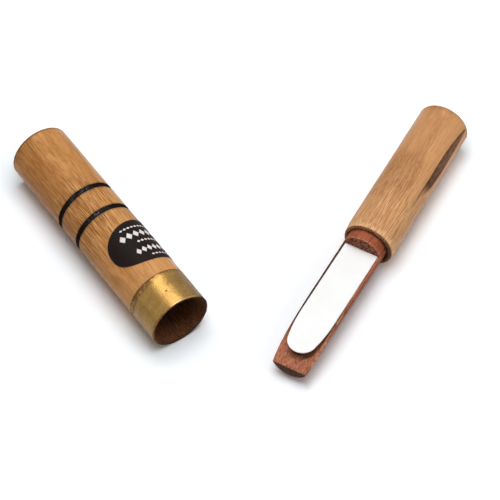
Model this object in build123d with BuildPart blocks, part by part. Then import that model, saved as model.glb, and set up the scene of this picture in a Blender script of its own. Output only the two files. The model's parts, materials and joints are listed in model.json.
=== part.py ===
from build123d import *

import os
from math import atan2, copysign, cos, degrees, hypot, pi, radians, sin, sqrt, tan

# Cane duck call, taken apart: a barrel with a brass band lies beside the insert,
# which is a cane exhaust tube holding a cedar toneboard, a wedge and a plastic reed.
# All sizes are in millimetres and degrees. Both halves lie on the plane Z = 0.

# Layout: the heading of each half, and where its open end lies
barrel_heading = -54.98
brass_end_x = -20.60
brass_end_y = -36.53
insert_heading = -118.31
insert_end_x = 43.35
insert_end_y = -3.79

# Cedar plug: the toneboard and the wedge together make a round rod
plug_d = 14.5
plug_length = 20.0
plug_clearance = 0.05
plug_offset = 0.4
plug_lean = -0.75

# Toneboard, measured from the exhaust tube's end
board_reach = 56.0
board_taper = 0.23
board_flat_height = 1.3
board_flat_length = 24.0
board_tip_thickness = 4.05
channel_width = 5.5
channel_reach = 41.0
channel_depth = 5.0

# Reed, split where it starts to bend
reed_thickness = 0.35
reed_gap = 0.05
reed_margin = 0.93
reed_reach = 51.8
reed_tail_depth = 14.0
reed_tip_radius = 5.1
reed_side_radius = 60.0
reed_flex = 5.0
reed_split_gap = 0.05

# Wedge, measured from the exhaust tube's end
wedge_gap = 0.05
wedge_stand_out = 3.8
wedge_depth = 18.0
wedge_side_trim = 0.4
wedge_edge_round = 0.4

# Exhaust tube
exhaust_wall = 2.2
exhaust_length = 62.7
exhaust_seat_play = 2.0
exhaust_seat_flare = 0.4
exhaust_flare_depth = 3.0
exhaust_shoulder = 0.7
exhaust_lead_length = 4.0
exhaust_lead_drop = 0.4
exhaust_far_round = 0.9
exhaust_near_round = 0.8

# Barrel, with its lengths measured back from the brass end
barrel_length = 90.2
barrel_wall = 1.55
barrel_mouth_round = 0.8
socket_clearance = 0.05
socket_length = 16.0
socket_lead_length = 4.0
socket_rim_wall = 0.42
bore_step = 1.55
bore_step_length = 2.0

# Brass band round the barrel's end
band_width = 13.7
band_wall = 0.36
band_fit = 0.02
band_edge_round = 0.1

# Oval paper label, wrapped round the barrel
label_width = 19.4
label_length = 34.0
label_fullness = 2.3
label_to_band = 6.05
label_angle = 42.0
label_tilt = 3.0
label_thickness = 0.1
label_glue = 0.02

# Two burnt grooves
groove_width = 2.0
groove_depth = 0.55
groove_to_label = 7.8
groove_pitch = 11.2
groove_count = 2

# Sizes that follow: the call grows outwards from the plug
plug_r = plug_d / 2
seat_r = plug_r + plug_clearance
seat_length = plug_length + exhaust_seat_play
exhaust_r = seat_r + exhaust_wall
exhaust_bore_r = seat_r - exhaust_shoulder
socket_r = exhaust_r + socket_clearance
barrel_r = socket_r + barrel_wall
barrel_bore_r = socket_r - bore_step
band_seat_r = barrel_r - band_wall - band_fit
lead_r = band_seat_r - socket_rim_wall

reed_bottom = board_flat_height + reed_gap
reed_middle = reed_bottom + reed_thickness / 2
wedge_floor = reed_bottom + reed_thickness + wedge_gap
wedge_half_width = sqrt(plug_r**2 - wedge_floor**2) - wedge_side_trim
reed_half_width = sqrt(plug_r**2 - board_flat_height**2) - reed_margin

board_fall = board_flat_height + plug_r - board_tip_thickness
board_fall_run = board_reach - board_flat_length
board_fall_radius = (board_fall_run**2 + board_fall**2) / (2 * board_fall)
reed_bend_at = board_flat_length + board_fall_radius * tan(radians(reed_flex / 2))

# The reed's sides run straight past the bend, then bow in and meet the tip's arc smoothly
reed_tip_r = min(reed_tip_radius, 0.85 * reed_half_width)
reed_tip_at = reed_reach - reed_tip_r
reed_narrowing = reed_half_width - reed_tip_r
reed_bow_room = reed_tip_at - reed_bend_at - reed_tip_r / 2
reed_bow_r = min(
    reed_side_radius,
    (reed_bow_room**2 / reed_narrowing + reed_half_width + reed_tip_r) / 2,
)
reed_bow_run = sqrt(reed_narrowing * (2 * reed_bow_r - reed_half_width - reed_tip_r))
reed_bow_share = reed_tip_r / (reed_bow_r - reed_tip_r)
reed_bow_end = reed_tip_at + reed_bow_share * reed_bow_run
reed_bow_end_width = reed_bow_share * (reed_bow_r - reed_half_width)

band_start = -band_width
label_at = band_start - label_to_band - label_width / 2
groove_at = label_at - label_width / 2 - groove_to_label


def lengthwise(x, y, height, heading):
    """Upright plane along a lying axis: local X follows the heading, local Y points up."""
    turn = radians(heading)
    along = (cos(turn), sin(turn), 0)
    return Plane(origin=(x, y, height), x_dir=along, z_dir=(sin(turn), -cos(turn), 0))


def across(lengthwise_plane, along=0.0):
    """Plane square to a lying axis, at a distance along it: local Y points up."""
    origin = lengthwise_plane.from_local_coords((along, 0, 0))
    return Plane(origin=origin, x_dir=-lengthwise_plane.z_dir, z_dir=lengthwise_plane.x_dir)


def level(lengthwise_plane, height):
    """Level plane above a lying axis: local X follows the axis."""
    origin = lengthwise_plane.from_local_coords((0, height, 0))
    return Plane(origin=origin, x_dir=lengthwise_plane.x_dir, z_dir=(0, 0, 1))


def turned(plane, angle):
    """The same plane, turned in itself about its own origin."""
    return Plane(plane.location * Rotation(0, 0, angle))


def lying_axis(lengthwise_plane):
    return Axis(lengthwise_plane.origin, lengthwise_plane.x_dir)


# The plug's seat is drilled a little off the exhaust tube's axis and leans with it
barrel_line = lengthwise(brass_end_x, brass_end_y, barrel_r, barrel_heading)
insert_line = lengthwise(insert_end_x, insert_end_y, exhaust_r, insert_heading)
plug_start = insert_line.from_local_coords((0, 0, plug_offset))
plug_line = lengthwise(plug_start.X, plug_start.Y, plug_start.Z, insert_heading + plug_lean)

# The whole plug as a rod: straight inside the exhaust tube, tapering outside it
with BuildPart() as plug_rod:
    with BuildSketch(across(plug_line)):
        Circle(plug_r)
    extrude(amount=-plug_length)
    with BuildSketch(across(plug_line)):
        Circle(plug_r)
    extrude(amount=board_reach, taper=board_taper)

# Barrel tube: bored through, with a socket and a lead-in at the brass end
with BuildPart() as barrel_tube:
    with BuildSketch(barrel_line):
        with BuildLine():
            Polyline(
                (-barrel_length, barrel_bore_r),
                (-barrel_length, barrel_r),
                (band_start, barrel_r),
                (band_start, band_seat_r),
                (0, band_seat_r),
                (0, lead_r),
                (-socket_lead_length, socket_r),
                (-socket_lead_length - socket_length, socket_r),
                (-socket_lead_length - socket_length - bore_step_length, barrel_bore_r),
                close=True,
            )
        wall = make_face()
        fillet(wall.vertices().group_by(Axis.X)[0], barrel_mouth_round)

        # Each groove is the hollow of a round cutter
        cutter_r = (groove_width**2 / 4 + groove_depth**2) / (2 * groove_depth)
        cutter_height = barrel_r + cutter_r - groove_depth
        for number in range(groove_count):
            with Locations((groove_at - number * groove_pitch, cutter_height)):
                Circle(cutter_r, mode=Mode.SUBTRACT)
    revolve(axis=lying_axis(barrel_line))
barrel_tube.part.label = "barrel_tube"

# Brass band: a thin ring flush with the cane
with BuildPart() as brass_band:
    with BuildSketch(barrel_line):
        with BuildLine():
            Polyline(
                (band_start, band_seat_r + band_fit),
                (band_start, barrel_r),
                (0, barrel_r),
                (0, band_seat_r + band_fit),
                close=True,
            )
        ring = make_face()
        fillet(ring.vertices().group_by(Axis.Y)[-1], band_edge_round)
    revolve(axis=lying_axis(barrel_line))
brass_band.part.label = "brass_band"

# Label: an oval of paper, wrapped round the barrel in two halves that meet on its middle line
label_r = barrel_r + label_glue
label_half_turn = degrees(label_length / 2 / label_r)
label_half_steps = 9
label_slope = tan(radians(label_tilt))
label_ring = across(barrel_line, label_at)
label_middle = turned(label_ring, -label_angle)
label_seam = Plane(label_middle.origin, x_dir=label_middle.y_dir, z_dir=label_middle.x_dir)


def label_half(side):
    """One half of the oval, cut from a thin shell by a look along that half's own middle."""
    half_middle = turned(label_middle, -side * label_half_turn / 2)
    outline = []
    for step in range(2 * label_half_steps + 1):
        turn = pi / 2 * (step / label_half_steps - 1)
        arc = side * radians(label_half_turn) * abs(cos(turn)) ** (2 / label_fullness)
        from_middle = arc - side * radians(label_half_turn) / 2
        bow = copysign(abs(sin(turn)) ** (2 / label_fullness), turn)
        rise = label_width / 2 * bow + label_r * arc * label_slope
        outline.append((label_r * sin(from_middle), rise))
    past_seam = outline[0][0] - side * label_thickness
    with BuildPart() as half:
        look = Plane(half_middle.origin, x_dir=half_middle.x_dir, z_dir=half_middle.y_dir)
        with BuildSketch(look):
            with BuildLine():
                Spline(*outline, tangents=[(side, 0), (-side, 0)])
                Polyline(
                    outline[-1],
                    (past_seam, label_width / 2),
                    (past_seam, -label_width / 2),
                    outline[0],
                )
            make_face()
        extrude(amount=2 * label_r)
        with BuildSketch(label_ring):
            Circle(label_r + label_thickness)
            Circle(label_r, mode=Mode.SUBTRACT)
        extrude(amount=label_width, both=True, mode=Mode.INTERSECT)
        split(bisect_by=label_seam, keep=Keep.TOP if side > 0 else Keep.BOTTOM)
    return half.part


with BuildPart() as label:
    add(label_half(-1))
    add(label_half(1))
label.part.label = "label"

# Exhaust tube: the cane's own bore, opened out into a seat for the plug
with BuildPart() as exhaust_tube:
    with BuildSketch(insert_line):
        with BuildLine():
            Polyline(
                (-exhaust_length, exhaust_bore_r),
                (-exhaust_length, exhaust_r),
                (-exhaust_lead_length, exhaust_r),
                (0, exhaust_r - exhaust_lead_drop),
                (0, exhaust_bore_r),
                close=True,
            )
        wall = make_face()
        far_end = wall.vertices().group_by(Axis.X)[0]
        fillet(far_end.sort_by(Axis.Y)[-1], exhaust_far_round)
        near_end = wall.vertices().group_by(Axis.X)[-1]
        fillet(near_end.sort_by(Axis.Y)[-1], exhaust_near_round)
    revolve(axis=lying_axis(insert_line))
    with BuildSketch(across(plug_line, exhaust_wall)):
        Circle(seat_r)
    extrude(amount=-seat_length - exhaust_wall, mode=Mode.SUBTRACT)
    with BuildSketch(plug_line):
        with BuildLine():
            flare_slope = exhaust_seat_flare / exhaust_flare_depth
            Polyline(
                (-exhaust_flare_depth, 0),
                (-exhaust_flare_depth, seat_r),
                (exhaust_wall, seat_r + exhaust_seat_flare + flare_slope * exhaust_wall),
                (exhaust_wall, 0),
                close=True,
            )
        make_face()
    revolve(axis=lying_axis(plug_line), mode=Mode.SUBTRACT)
exhaust_tube.part.label = "exhaust_tube"

# Toneboard: flat on top, falling away in an arc to the tip, with an air channel
with BuildPart() as toneboard:
    with BuildSketch(plug_line):
        with BuildLine():
            top = Line((-plug_length, board_flat_height), (board_flat_length, board_flat_height))
            fall = RadiusArc(
                top @ 1,
                (board_reach, board_flat_height - board_fall),
                board_fall_radius,
            )
            Polyline(
                fall @ 1,
                (board_reach, -plug_r),
                (-plug_length, -plug_r),
                top @ 0,
            )
        make_face()
    extrude(amount=plug_r, both=True)
    add(plug_rod.part, mode=Mode.INTERSECT)

    channel_run = channel_reach + plug_length
    channel_slope = degrees(atan2(channel_depth, channel_run))
    channel_r = channel_width / 2
    channel_start = plug_line.from_local_coords((channel_reach, board_flat_height + channel_r, 0))
    channel_line = turned(
        Plane(origin=channel_start, x_dir=plug_line.x_dir, z_dir=plug_line.z_dir), channel_slope
    )
    with BuildSketch(across(channel_line)):
        Circle(channel_r)
        Rectangle(channel_width, plug_d, align=(Align.CENTER, Align.MIN))
    extrude(amount=-hypot(channel_run, channel_depth) - channel_r, mode=Mode.SUBTRACT)
toneboard.part.label = "toneboard"

# Wedge: the rest of the rod, which clamps the reed from above
with BuildPart() as wedge:
    with BuildSketch(plug_line):
        with BuildLine():
            Polyline(
                (-wedge_depth, wedge_floor),
                (-wedge_depth, plug_r),
                (wedge_stand_out, plug_r),
                (wedge_stand_out, wedge_floor),
                close=True,
            )
        make_face()
    extrude(amount=wedge_half_width, both=True)
    add(plug_rod.part, mode=Mode.INTERSECT)
    front = wedge.faces().sort_by(lying_axis(plug_line))[-1]
    fillet(front.edges().filter_by(GeomType.CIRCLE), wedge_edge_round)
wedge.part.label = "wedge"

# Reed: the held tail, and the tongue that beats above the falling board
reed_bend_axis = Plane(
    origin=plug_line.from_local_coords((reed_bend_at, reed_middle, 0)),
    x_dir=plug_line.x_dir,
    z_dir=plug_line.z_dir,
)

with BuildPart() as reed_tail:
    with BuildSketch(level(plug_line, reed_bottom)):
        with Locations((-reed_tail_depth, 0)):
            Rectangle(
                reed_tail_depth + reed_bend_at,
                2 * reed_half_width,
                align=(Align.MIN, Align.CENTER),
            )
    extrude(amount=reed_thickness)
    with BuildSketch(reed_bend_axis):
        Circle(reed_thickness / 2 + reed_split_gap)
    extrude(amount=2 * reed_half_width, both=True, mode=Mode.SUBTRACT)
reed_tail.part.label = "reed_tail"

with BuildPart() as reed_tongue:
    with BuildSketch(level(plug_line, reed_bottom)):
        with BuildLine():
            Line((reed_bend_at, -reed_half_width), (reed_bend_at, reed_half_width))
            for side in (-1, 1):
                edge = Line(
                    (reed_bend_at, side * reed_half_width),
                    (reed_tip_at - reed_bow_run, side * reed_half_width),
                )
                TangentArc(
                    edge @ 1, (reed_bow_end, side * reed_bow_end_width), tangent=edge % 1
                )
            ThreePointArc(
                (reed_bow_end, -reed_bow_end_width),
                (reed_reach, 0),
                (reed_bow_end, reed_bow_end_width),
            )
        make_face()
    extrude(amount=reed_thickness)
    with BuildSketch(reed_bend_axis):
        Circle(reed_thickness / 2)
    extrude(amount=reed_half_width, both=True)
reed_tongue.part.label = "reed_tongue"

os.makedirs("parts", exist_ok=True)
for piece in (
    barrel_tube,
    brass_band,
    label,
    exhaust_tube,
    toneboard,
    wedge,
    reed_tail,
    reed_tongue,
):
    export_step(piece.part, f"parts/{piece.part.label}.step")
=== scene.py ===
import json
from math import asin, atan2, ceil, copysign, cos, degrees, hypot, pi, radians, sin, sqrt, tan

import bmesh
import bpy
from bpy.props import FloatProperty, FloatVectorProperty, IntProperty, PointerProperty
from mathutils import Matrix, Vector


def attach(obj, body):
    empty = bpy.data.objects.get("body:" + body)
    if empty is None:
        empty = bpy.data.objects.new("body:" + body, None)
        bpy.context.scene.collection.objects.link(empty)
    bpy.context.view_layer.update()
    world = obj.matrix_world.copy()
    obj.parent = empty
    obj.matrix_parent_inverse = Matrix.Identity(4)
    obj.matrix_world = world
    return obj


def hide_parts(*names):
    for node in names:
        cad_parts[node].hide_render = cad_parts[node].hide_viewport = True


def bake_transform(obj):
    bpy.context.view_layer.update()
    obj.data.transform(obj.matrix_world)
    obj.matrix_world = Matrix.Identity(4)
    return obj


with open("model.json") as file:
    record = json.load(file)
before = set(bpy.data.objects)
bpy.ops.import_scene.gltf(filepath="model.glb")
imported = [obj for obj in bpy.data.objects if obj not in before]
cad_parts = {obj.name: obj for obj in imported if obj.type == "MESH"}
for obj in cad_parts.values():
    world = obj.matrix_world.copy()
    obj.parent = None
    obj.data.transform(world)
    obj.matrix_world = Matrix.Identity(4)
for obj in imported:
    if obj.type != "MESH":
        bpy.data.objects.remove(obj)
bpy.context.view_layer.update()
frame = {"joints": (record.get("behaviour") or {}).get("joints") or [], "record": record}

bl_info = {
    "name": "Cane Duck Call",
    "version": (1, 0, 0),
    "blender": (4, 5, 0),
    "location": "3D View > Sidebar > Duck Call",
    "description": "Dresses a cane duck call that lies taken apart beside its insert",
    "category": "Add Mesh",
}

MM = 0.001


# Places: each half lies on its own axis, with X along it, Y to its right and Z up

class Place:
    """Where a half lies: a start point in millimetres and the heading of its axis."""

    def __init__(self, start, axis):
        self.start = Vector(start)
        self.heading = atan2(axis[1], axis[0])

    def matrix(self):
        turn = Matrix.Rotation(self.heading, 4, "Z")
        return Matrix.Translation(self.start * MM) @ turn @ Matrix.Scale(MM, 4)


mounts = {mount["name"]: mount for mount in frame["record"]["mounts"]}
joints = {joint["name"]: joint for joint in frame["joints"]}


def end_from_mount(name, back):
    """A half's open end, which lies past the middle of a mount on its axis."""
    mount = mounts[name]
    return Place(Vector(mount["pos_m"]) / MM + Vector(mount["axis"]) * back, mount["axis"])


# How far the middles of two mounts and the reed's bend lie from the open ends, in millimetres
SOCKET_MIDDLE = 12.0
INSERT_MIDDLE = 32.9
REED_BEND_AT = 29.066
REED_MIDDLE = 1.525
barrel_place = end_from_mount("insert_socket", SOCKET_MIDDLE)
insert_place = end_from_mount("insert_outside", INSERT_MIDDLE)
plug_axis = Vector(joints["toneboard_draw"]["axis"])
plug_place = Place(
    Vector(joints["reed_flex"]["pos_m"]) / MM - plug_axis * REED_BEND_AT - Vector((0, 0, REED_MIDDLE)),
    plug_axis,
)

# Sizes in millimetres that several functions share; places along a half count from its open end
GROOVES = (-58.15, -46.95)
BAND_BACK = -13.7
BAND_SEAT = 10.72
BOARD_FLAT = 1.3
BOARD_FLAT_END = 24.0
BOARD_FALL_RADIUS = 116.03
BOARD_TAPER = tan(radians(0.23))
LABEL_MAP = 100.0


# Node trees written as sums

def maths(operation, reflected=False):
    """A method that joins a wire and other values in one math node."""
    def method(self, *others):
        values = (*others, self) if reflected else (self, *others)
        return self.tree.node("ShaderNodeMath", {"operation": operation}, dict(enumerate(values)))

    return method


class Wire:
    """A socket in a node tree that can be used in plain Python sums."""

    def __init__(self, tree, socket):
        self.tree = tree
        self.socket = socket

    __add__ = __radd__ = maths("ADD")
    __sub__ = maths("SUBTRACT")
    __rsub__ = maths("SUBTRACT", reflected=True)
    __mul__ = __rmul__ = maths("MULTIPLY")
    __truediv__ = maths("DIVIDE")
    __rtruediv__ = maths("DIVIDE", reflected=True)
    __pow__ = maths("POWER")
    __mod__ = maths("FLOORED_MODULO")
    __abs__ = maths("ABSOLUTE")
    least = maths("MINIMUM")
    most = maths("MAXIMUM")
    floor = maths("FLOOR")
    sine = maths("SINE")
    cosine = maths("COSINE")
    turn_from = maths("ARCTAN2")

    def fade(self, low, high):
        """0 at low, 1 at high, smooth between and held outside; low may be the larger."""
        sockets = {"Value": self, "From Min": low, "From Max": high, "To Min": 0.0, "To Max": 1.0}
        return self.tree.node("ShaderNodeMapRange", {"interpolation_type": "SMOOTHSTEP"}, sockets)


class Tree:
    """A node tree, filled through one method."""

    def __init__(self, nodes_of):
        self.nodes_of = nodes_of

    def node(self, kind, settings=None, sockets=None, out=0):
        made = self.nodes_of.nodes.new(kind)
        for name, value in (settings or {}).items():
            if name == "stops":
                ramp = made.color_ramp.elements
                while len(ramp) < len(value):
                    ramp.new(0.5)
                for element, (position, shade) in zip(ramp, value):
                    element.position = position
                    element.color = shade
            else:
                setattr(made, name, value)
        for name, value in (sockets or {}).items():
            if isinstance(value, Wire):
                self.nodes_of.links.new(value.socket, made.inputs[name])
            else:
                made.inputs[name].default_value = value
        if isinstance(out, tuple):
            return tuple(Wire(self, made.outputs[name]) for name in out)
        return Wire(self, made.outputs[out]) if made.outputs else made


class Finish(Tree):
    """A material made of nodes, on a place's own axes, in millimetres."""

    def __init__(self, name):
        self.material = bpy.data.materials.new(name)
        self.material.use_nodes = True
        super().__init__(self.material.node_tree)
        self.nodes_of.nodes.clear()

    def local(self, place):
        """The point on a place's axes, in millimetres."""
        return self.node(
            "ShaderNodeMapping",
            {"vector_type": "TEXTURE"},
            {
                "Vector": self.node("ShaderNodeTexCoord", out="Object"),
                "Location": place.start * MM,
                "Rotation": (0.0, 0.0, place.heading),
                "Scale": (MM, MM, MM),
            },
        )

    def parts(self, vector):
        return self.node("ShaderNodeSeparateXYZ", None, {"Vector": vector}, ("X", "Y", "Z"))

    def stretched(self, vector, *scale):
        return self.node("ShaderNodeVectorMath", {"operation": "MULTIPLY"}, {0: vector, 1: scale})

    def around(self, right, up):
        """The angle round the axis in degrees: 0 on top, positive to the right."""
        return right.turn_from(up) * degrees(1.0)

    def radius(self, right, up):
        return (right * right + up * up) ** 0.5

    def cloud(self, vector, scale, detail=2.0, rough=0.5, swirl=0.0):
        shape = {"Scale": scale, "Detail": detail, "Roughness": rough, "Distortion": swirl}
        return self.node("ShaderNodeTexNoise", None, {"Vector": vector, **shape})

    def streaks(self, point, share, *shape):
        """A cloud drawn out along the axis: the smaller the share, the longer."""
        return self.cloud(self.stretched(point, share, 1.0, 1.0), *shape)

    def mix(self, share, first, second):
        return self.node("ShaderNodeMix", {"data_type": "RGBA"}, {0: share, 6: first, 7: second}, 2)

    def lay(self, share, over):
        """Lays a colour over the skin so far."""
        self.skin = self.mix(share, self.skin, over)

    def ramp(self, value, *stops):
        return self.node("ShaderNodeValToRGB", {"stops": stops}, {"Fac": value})

    def bump(self, height, strength, depth):
        sockets = {"Strength": strength, "Distance": depth * MM, "Height": height}
        return self.node("ShaderNodeBump", None, sockets)

    def surface(self, **sockets):
        """The closing shader, coloured by the skin; socket names have low lines for spaces."""
        named = {name.replace("_", " "): value for name, value in sockets.items()}
        shader = self.node("ShaderNodeBsdfPrincipled", None, {"Base Color": self.skin, **named})
        self.node("ShaderNodeOutputMaterial", None, {"Surface": shader})
        return self.material


# Sizes and colours that a user would change

def number(name, description, default, **rest):
    return FloatProperty(name=name, description=description, default=default, **rest)


def length(name, description, default):
    return number(name, description, default, unit="LENGTH", subtype="DISTANCE", precision=5)


def colour(name, description, red, green, blue):
    return FloatVectorProperty(
        name=name, description=description, default=(red, green, blue, 1.0), size=4,
        subtype="COLOR", min=0.0, max=1.0,
    )


class DuckCallBarrel(bpy.types.PropertyGroup):
    """Sizes and colours of the barrel tube."""

    length: length("Length", "From the brass end to the mouth end", 0.0902)
    radius: length("Radius", "Outside radius of the cane", 0.0111)
    bore: length("Bore", "Radius of the bore", 0.008)
    socket: length("Socket", "Radius of the socket for the insert", 0.00955)
    groove_width: length("Groove Width", "Width of each burnt groove", 0.002)
    groove_depth: length("Groove Depth", "Depth of each burnt groove", 0.00055)
    fibre_height: length("Fibre Height", "Depth of the cane's relief", 0.00003)
    steps: IntProperty(name="Steps", description="Faces round the tube", default=360, min=48)
    tone: colour("Tone", "Main colour of the polished cane", 0.565, 0.248, 0.072)
    shade: colour("Shade", "Deeper patches", 0.455, 0.185, 0.050)
    glow: colour("Glow", "Lighter patches", 0.69, 0.33, 0.118)
    fibre_dark: colour("Dark Fibre", "Dark lines along the cane", 0.21, 0.075, 0.020)
    fibre_pale: colour("Pale Fibre", "Pale lines along the cane", 0.80, 0.44, 0.165)
    smoke: colour("Smoke", "Brown scorch near the grooves and the mouth", 0.13, 0.05, 0.018)
    char: colour("Char", "Burnt black in the grooves", 0.003, 0.002, 0.0018)
    char_worn: colour("Worn Char", "Worn char", 0.012, 0.007, 0.005)
    end_dark: colour("End Grain Dark", "Dots in the cut ends", 0.06, 0.022, 0.009)
    end_tone: colour("End Grain", "Cut ends", 0.23, 0.10, 0.04)
    end_pale: colour("End Grain Pale", "Light specks in the cut ends", 0.42, 0.22, 0.10)
    bore_dark: colour("Bore Dark", "Dark streaks inside", 0.055, 0.019, 0.008)
    bore_tone: colour("Bore", "Inside of the tube", 0.20, 0.078, 0.033)


class DuckCallInsert(bpy.types.PropertyGroup):
    """Sizes and colours of the exhaust tube."""

    length: length("Length", "From the seat end to the far end", 0.0627)
    radius: length("Radius", "Outside radius of the cane", 0.0095)
    bore: length("Bore", "Radius of the bore", 0.0066)
    seat: length("Seat", "Radius of the seat for the cedar plug", 0.0073)
    fibre_height: length("Fibre Height", "Depth of the cane's relief", 0.00003)
    wear: length("Wear", "Depth of the chips in the seat's end", 0.00035)
    steps: IntProperty(name="Steps", description="Faces round the tube", default=320, min=48)
    tone: colour("Tone", "Main colour of the polished cane", 0.58, 0.269, 0.097)
    shade: colour("Shade", "Deeper patches", 0.445, 0.19, 0.060)
    glow: colour("Glow", "Lighter patches", 0.69, 0.34, 0.138)
    fibre_dark: colour("Dark Fibre", "Dark lines along the cane", 0.26, 0.105, 0.035)
    fibre_pale: colour("Pale Fibre", "Pale lines along the cane", 0.88, 0.56, 0.30)
    stain: colour("Stain", "Dark edge of the long stain", 0.075, 0.028, 0.015)
    stain_pale: colour("Pale Stain", "Lighter side of the long stain", 0.155, 0.070, 0.041)
    end_dark: colour("End Grain Dark", "Dots in the cut ends", 0.040, 0.014, 0.006)
    end_tone: colour("End Grain", "Cut ends", 0.31, 0.12, 0.045)
    end_pale: colour("End Grain Pale", "Light specks in the cut ends", 0.55, 0.28, 0.12)
    bore_dark: colour("Bore Dark", "Dark streaks inside", 0.018, 0.007, 0.004)
    bore_tone: colour("Bore", "Inside of the tube", 0.10, 0.04, 0.018)


class DuckCallBand(bpy.types.PropertyGroup):
    """Sizes and colours of the brass band."""

    width: length("Width", "Width of the band", 0.0137)
    wall: length("Wall", "Thickness of the brass", 0.00036)
    radius: length("Radius", "Outside radius of the band", 0.0111)
    brass: colour("Brass", "Main colour of the metal", 0.315, 0.186, 0.053)
    brass_warm: colour("Warm Brass", "Warmer patches", 0.275, 0.155, 0.044)
    brass_pale: colour("Pale Brass", "Rubbed lines", 0.40, 0.27, 0.10)
    tarnish: colour("Tarnish", "Brown tarnish", 0.12, 0.052, 0.020)
    # The rim colour is painted shade on the lower front edge.
    painted_rim_shade: colour("Rim", "Grime along the lower front edge", 0.025, 0.013, 0.008)


class DuckCallLabel(bpy.types.PropertyGroup):
    """Sizes and colours of the paper label."""

    width: length("Width", "Width along the barrel", 0.0194)
    length: length("Length", "Length round the barrel", 0.034)
    thickness: length("Thickness", "Thickness of the paper", 0.0001)
    fullness: number("Fullness", "Shape of the oval: 2 is a plain one", 2.3, min=2.0, max=4.0)
    paper: colour("Paper", "Printed black", 0.012, 0.007, 0.006)
    paper_worn: colour("Worn Paper", "Rubbed black", 0.020, 0.0135, 0.012)
    print: colour("Print", "Pale ornament", 0.80, 0.77, 0.75)
    rubbed: colour("Rubbed Edge", "Paper showing at the edge", 0.16, 0.12, 0.09)


class DuckCallCedar(bpy.types.PropertyGroup):
    """Sizes and colours of the cedar toneboard and wedge."""

    radius: length("Radius", "Radius of the plug", 0.00725)
    reach: length("Reach", "How far the toneboard stands out", 0.056)
    wedge_stand_out: length("Wedge Stand Out", "How far the wedge stands out", 0.0038)
    tone: colour("Tone", "Main colour of the cedar", 0.38, 0.113, 0.055)
    wedge_red: colour("Wedge Red", "Redder cast of the wedge", 0.355, 0.073, 0.026)
    shade: colour("Shade", "Darker growth bands", 0.27, 0.069, 0.030)
    glow: colour("Glow", "Lighter growth bands", 0.47, 0.151, 0.077)
    grain_dark: colour("Dark Grain", "Dark grain lines", 0.115, 0.034, 0.017)
    grain_pale: colour("Pale Grain", "Pale grain lines", 0.60, 0.295, 0.135)
    # Grime and painted shade: darkens the strips beside the reed and the cedar under it.
    grime_and_painted_shade: colour("Grime", "Darkened strips beside the reed", 0.040, 0.013, 0.007)
    end_dark: colour("End Grain Dark", "Pores in the cut ends", 0.016, 0.006, 0.004)
    end_tone: colour("End Grain", "Cut ends", 0.13, 0.037, 0.017)
    end_pale: colour("End Grain Pale", "Light specks in the cut ends", 0.34, 0.14, 0.08)
    end_dull: colour("Dull End", "Dirt on the tip's cut end", 0.062, 0.032, 0.021)


class DuckCallReed(bpy.types.PropertyGroup):
    """Sizes and colours of the reed."""

    width: length("Width", "Width of the reed", 0.012405)
    thickness: length("Thickness", "Thickness of the plastic", 0.00035)
    reach: length("Reach", "How far the reed stands out", 0.0518)
    tip: length("Tip", "Radius of the rounded tip", 0.0051)
    side: length("Side", "Radius of the bowed sides", 0.060)
    white: colour("White", "Main colour of the plastic", 0.94, 0.94, 0.935)
    white_warm: colour("Warm White", "Slightly warmer patches", 0.92, 0.915, 0.905)


class DuckCallStage(bpy.types.PropertyGroup):
    """Floor, light and camera."""

    floor: colour("Floor", "Colour of the floor", 0.90, 0.90, 0.90)
    floor_cool: colour("Floor Cool", "Cool tone added where the camera sees the floor", 0.72, 0.86, 1.0)
    floor_size: length("Floor Size", "Side of the floor", 12.0)
    floor_lift: number("Floor Lift", "How much whiter the camera sees the floor", 0.27, min=0.0, max=1.0)
    floor_spread: number("Floor Spread", "Growth of the lift outwards, per square metre", 13.0)
    main: number("Main", "Power of the soft light close above", 1.48, unit="POWER")
    softbox: number("Softbox", "Power of the high light that only shine shows", 43.6, unit="POWER")
    even: number("Even", "Strength of the light from all round", 0.18)
    fill: number("Fill", "Power of the light on the right", 5.0, unit="POWER")
    lens: number("Lens", "Focal length in millimetres", 144.0)
    distance: length("Distance", "From the camera to the middle of the floor", 0.7017)
    elevation: number(
        "Elevation", "How steeply the camera looks down", radians(53.04), unit="ROTATION", subtype="ANGLE"
    )


# Finishes

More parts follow.
